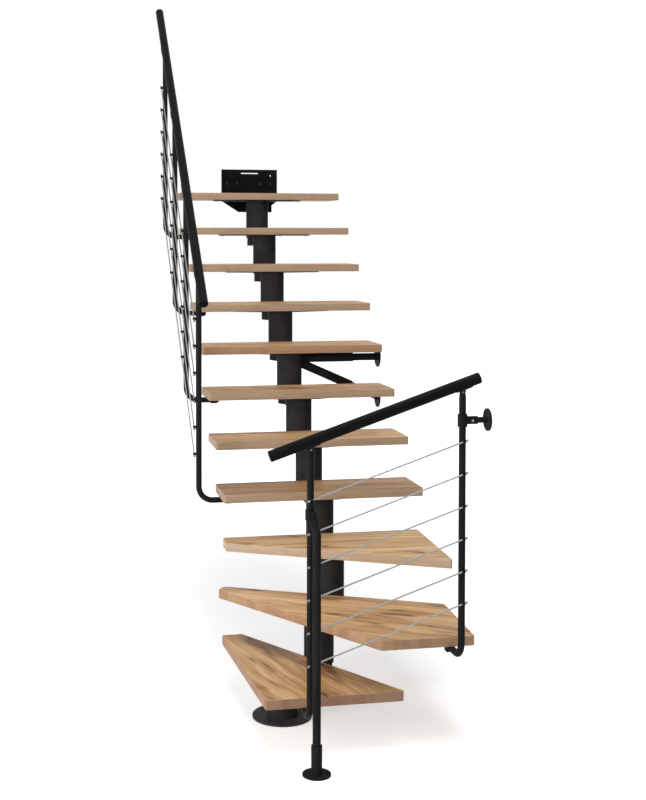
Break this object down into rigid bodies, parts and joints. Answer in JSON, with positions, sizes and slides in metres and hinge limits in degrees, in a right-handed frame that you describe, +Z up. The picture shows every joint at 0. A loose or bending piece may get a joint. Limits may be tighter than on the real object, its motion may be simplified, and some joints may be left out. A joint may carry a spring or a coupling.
{
  "type": "modular quarter-turn staircase",
  "caption": "Open staircase on a central stringer of stacked black tube modules with oak treads, turning a quarter, with rod railings, handrails, wall stays and a landing plate.",
  "frame": {"origin": "centre of the floor flange's underside, on the floor", "axes": "+Z up; the stair is entered along +X and climbs along +Y after the turn"},
  "size_m": [1.024, 2.947, 3.2141],
  "materials": {
    "oak_board": "satin oak decor board with grain and knots",
    "black_coat": "fine satin black powder coat",
    "rail_coat": "satin black coated tube",
    "steel_rod": "bright drawn stainless rod",
    "screw_steel": "dark plated screw"
  },
  "bodies": {
    "root": {"floor_flange": "black_coat", "module_1": "black_coat", "module_2": "black_coat", "module_3": "black_coat", "module_4": "black_coat", "module_5": "black_coat", "module_6": "black_coat", "module_7": "black_coat", "module_8": "black_coat", "module_9": "black_coat", "module_10": "black_coat", "module_11": "black_coat", "tread_1": "oak_board", "tread_2": "oak_board", "tread_3": "oak_board", "tread_4": "oak_board", "tread_5": "oak_board", "tread_6": "oak_board", "tread_7": "oak_board", "tread_8": "oak_board", "tread_9": "oak_board", "tread_10": "oak_board", "tread_11": "oak_board", "landing_plate": "black_coat", "tube_screws": "screw_steel", "wall_bracket": "black_coat", "wall_stay_upper": "black_coat", "wall_stay_lower": "black_coat", "post_turn_1": "black_coat", "post_turn_2": "black_coat", "post_4": "black_coat", "post_6": "black_coat", "post_8": "black_coat", "post_10": "black_coat", "post_clips": "black_coat", "rod_holders": "black_coat", "railing_rods": "steel_rod", "rail_saddles": "black_coat", "turn_handrail": "rail_coat", "flight_handrail": "rail_coat", "prop_tube": "black_coat", "prop_collar": "black_coat", "prop_foot": "black_coat", "post_wall_collar": "black_coat", "post_wall_flange": "black_coat"}
  },
  "joints": []
}
